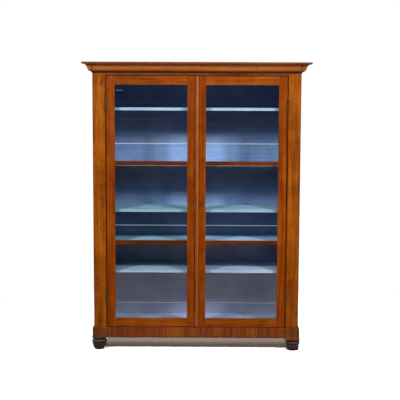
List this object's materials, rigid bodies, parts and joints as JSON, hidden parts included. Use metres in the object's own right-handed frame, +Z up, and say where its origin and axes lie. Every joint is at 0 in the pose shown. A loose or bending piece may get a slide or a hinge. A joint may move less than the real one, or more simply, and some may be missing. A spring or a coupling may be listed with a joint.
{
  "type": "bookcase with glass doors",
  "caption": "Free-standing bookcase with hinged glazed doors, painted shelves on sawtooth racks, a moulded cornice and turned front feet.",
  "frame": {"origin": "on the floor below the middle of the overall bounding box", "axes": "+Z up, +X to the right as seen from the front, the doors face -Y"},
  "size_m": [1.52, 0.455, 1.953],
  "materials": {
    "stained_wood": "red-brown stained and polished, satin",
    "cross_banded_wood": "cross-grain veneer, dark red-brown, satin",
    "ebonised_wood": "dark stained, satin",
    "painted_inside": "pale blue-grey paint, matte",
    "window_glass": "clear",
    "aged_hinge_metal": "darkened, dull",
    "lock_iron": "blackened iron, dull",
    "escutcheon_brass": "aged"
  },
  "bodies": {
    "carcase": {"back_boards": "painted_inside", "bottom_board": "painted_inside", "cornice_front": "stained_wood", "cornice_left": "stained_wood", "cornice_right": "stained_wood", "front_bottom_rail": "cross_banded_wood", "front_foot_left": "ebonised_wood", "front_foot_right": "ebonised_wood", "front_post_left": "stained_wood", "front_post_right": "stained_wood", "front_top_rail": "stained_wood", "hinge_frame_leaves": "aged_hinge_metal", "hinge_pins": "aged_hinge_metal", "plinth_block_left": "stained_wood", "plinth_block_right": "stained_wood", "rear_post_left": "stained_wood", "rear_post_right": "stained_wood", "shelf_bearers": "painted_inside", "shelf_five": "painted_inside", "shelf_four": "painted_inside", "shelf_one": "painted_inside", "shelf_three": "painted_inside", "shelf_two": "painted_inside", "side_bottom_rail_left": "stained_wood", "side_bottom_rail_right": "stained_wood", "side_panel_left": "stained_wood", "side_panel_right": "stained_wood", "side_top_rail_left": "stained_wood", "side_top_rail_right": "stained_wood", "tooth_racks": "painted_inside", "top_board": "stained_wood"},
    "left_door": {"left_bottom_pane": "window_glass", "left_bottom_rail": "stained_wood", "left_glazing_beads": "stained_wood", "left_hinge_leaves": "aged_hinge_metal", "left_hinge_stile": "stained_wood", "left_lower_bar": "stained_wood", "left_meeting_stile": "stained_wood", "left_middle_pane": "window_glass", "left_top_pane": "window_glass", "left_top_rail": "stained_wood", "left_upper_bar": "stained_wood", "bolt_guides": "lock_iron"},
    "right_door": {"right_bottom_pane": "window_glass", "right_bottom_rail": "stained_wood", "right_glazing_beads": "stained_wood", "right_hinge_leaves": "aged_hinge_metal", "right_hinge_stile": "stained_wood", "right_lower_bar": "stained_wood", "right_meeting_stile": "stained_wood", "right_middle_pane": "window_glass", "right_top_pane": "window_glass", "right_top_rail": "stained_wood", "right_upper_bar": "stained_wood", "astragal": "stained_wood", "lock_case": "lock_iron", "escutcheon": "escutcheon_brass"},
    "top_bolt": {"top_bolt": "lock_iron"},
    "bottom_bolt": {"bottom_bolt": "lock_iron"},
    "lock_bolt": {"lock_bolt": "lock_iron"}
  },
  "joints": [
    {"name": "left_door_hinge", "type": "hinge", "parent": "carcase", "child": "left_door", "pos_m": [-0.6072, -0.1655, 1], "axis": [0, 0, -1], "range_deg": [0, 170]},
    {"name": "right_door_hinge", "type": "hinge", "parent": "carcase", "child": "right_door", "pos_m": [0.6072, -0.1655, 1], "axis": [0, 0, 1], "range_deg": [0, 170]},
    {"name": "lock_bolt_slide", "type": "slide", "parent": "right_door", "child": "lock_bolt", "axis": [-1, 0, 0], "range_m": [0, 0.009]},
    {"name": "top_bolt_slide", "type": "slide", "parent": "left_door", "child": "top_bolt", "axis": [0, 0, 1], "range_m": [0, 0.012]},
    {"name": "bottom_bolt_slide", "type": "slide", "parent": "left_door", "child": "bottom_bolt", "axis": [0, 0, -1], "range_m": [0, 0.012]}
  ]
}
